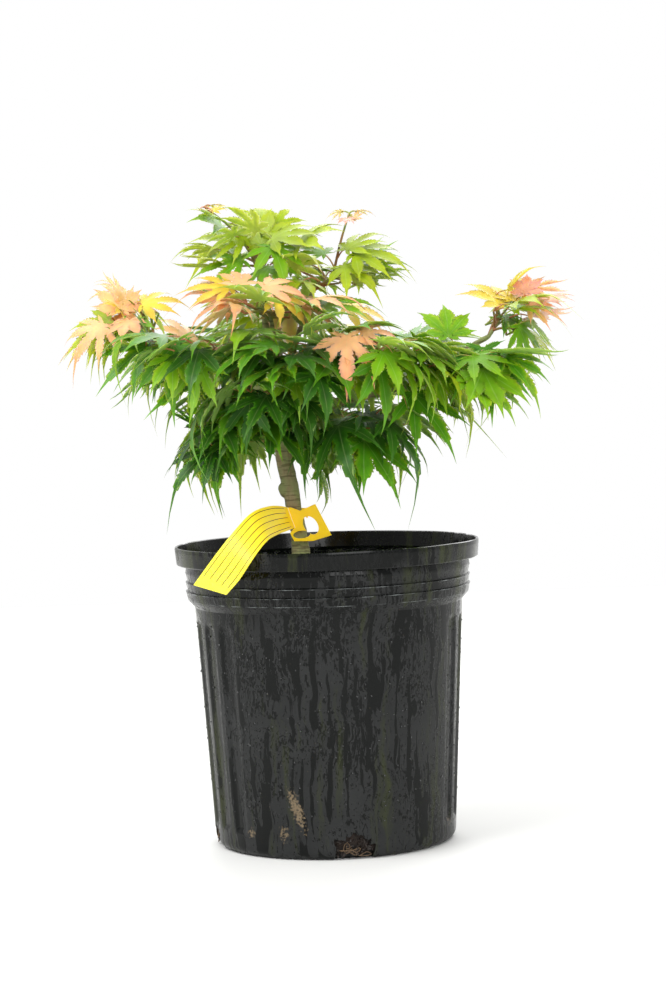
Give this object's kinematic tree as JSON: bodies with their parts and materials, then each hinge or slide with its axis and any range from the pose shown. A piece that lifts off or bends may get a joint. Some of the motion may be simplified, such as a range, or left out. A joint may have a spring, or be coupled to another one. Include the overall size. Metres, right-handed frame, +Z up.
{
  "type": "potted japanese maple",
  "caption": "Young grafted japanese maple with layered, deeply cut leaves in green, yellow and peach, in a round black nursery pot with a loop label on its trunk.",
  "frame": {"origin": "centre of the pot's flat underside, on the ground", "axes": "+Z up, along the pot's axis; +X to the right and -Y to the front as the plant is looked at"},
  "size_m": [0.2854, 0.195, 0.3454],
  "materials": {
    "pot_plastic": "satin",
    "potting_mix": "matte",
    "label_plastic": "satin",
    "bark": "matte",
    "green_leaves": "satin",
    "light_leaves": "satin",
    "young_leaves": "satin"
  },
  "bodies": {
    "root": {"pot": "pot_plastic", "soil": "potting_mix", "plant_label": "label_plastic", "trunk": "bark", "right_bough": "bark", "right_front_bough": "bark", "left_bough": "bark", "left_front_bough": "bark", "leader": "bark", "leader_right": "bark", "front_bough": "bark", "middle_bough": "bark", "back_left_bough": "bark", "back_right_bough": "bark", "back_bough": "bark", "leaves_left_tip": "young_leaves", "leaves_right_tip": "young_leaves", "leaves_centre_front": "young_leaves", "leaves_top_left": "light_leaves", "leaves_top_right": "light_leaves", "leaves_lower_left": "green_leaves", "leaves_lower_right": "green_leaves", "leaves_lower_front": "green_leaves", "leaves_lower_back": "green_leaves", "leaves_right_front": "light_leaves", "leaves_middle_front": "green_leaves", "leaves_left_front": "green_leaves", "leaves_right_middle": "green_leaves", "leaves_back_left": "green_leaves", "leaves_back_right": "green_leaves", "leaves_back_top": "light_leaves"}
  },
  "joints": []
}
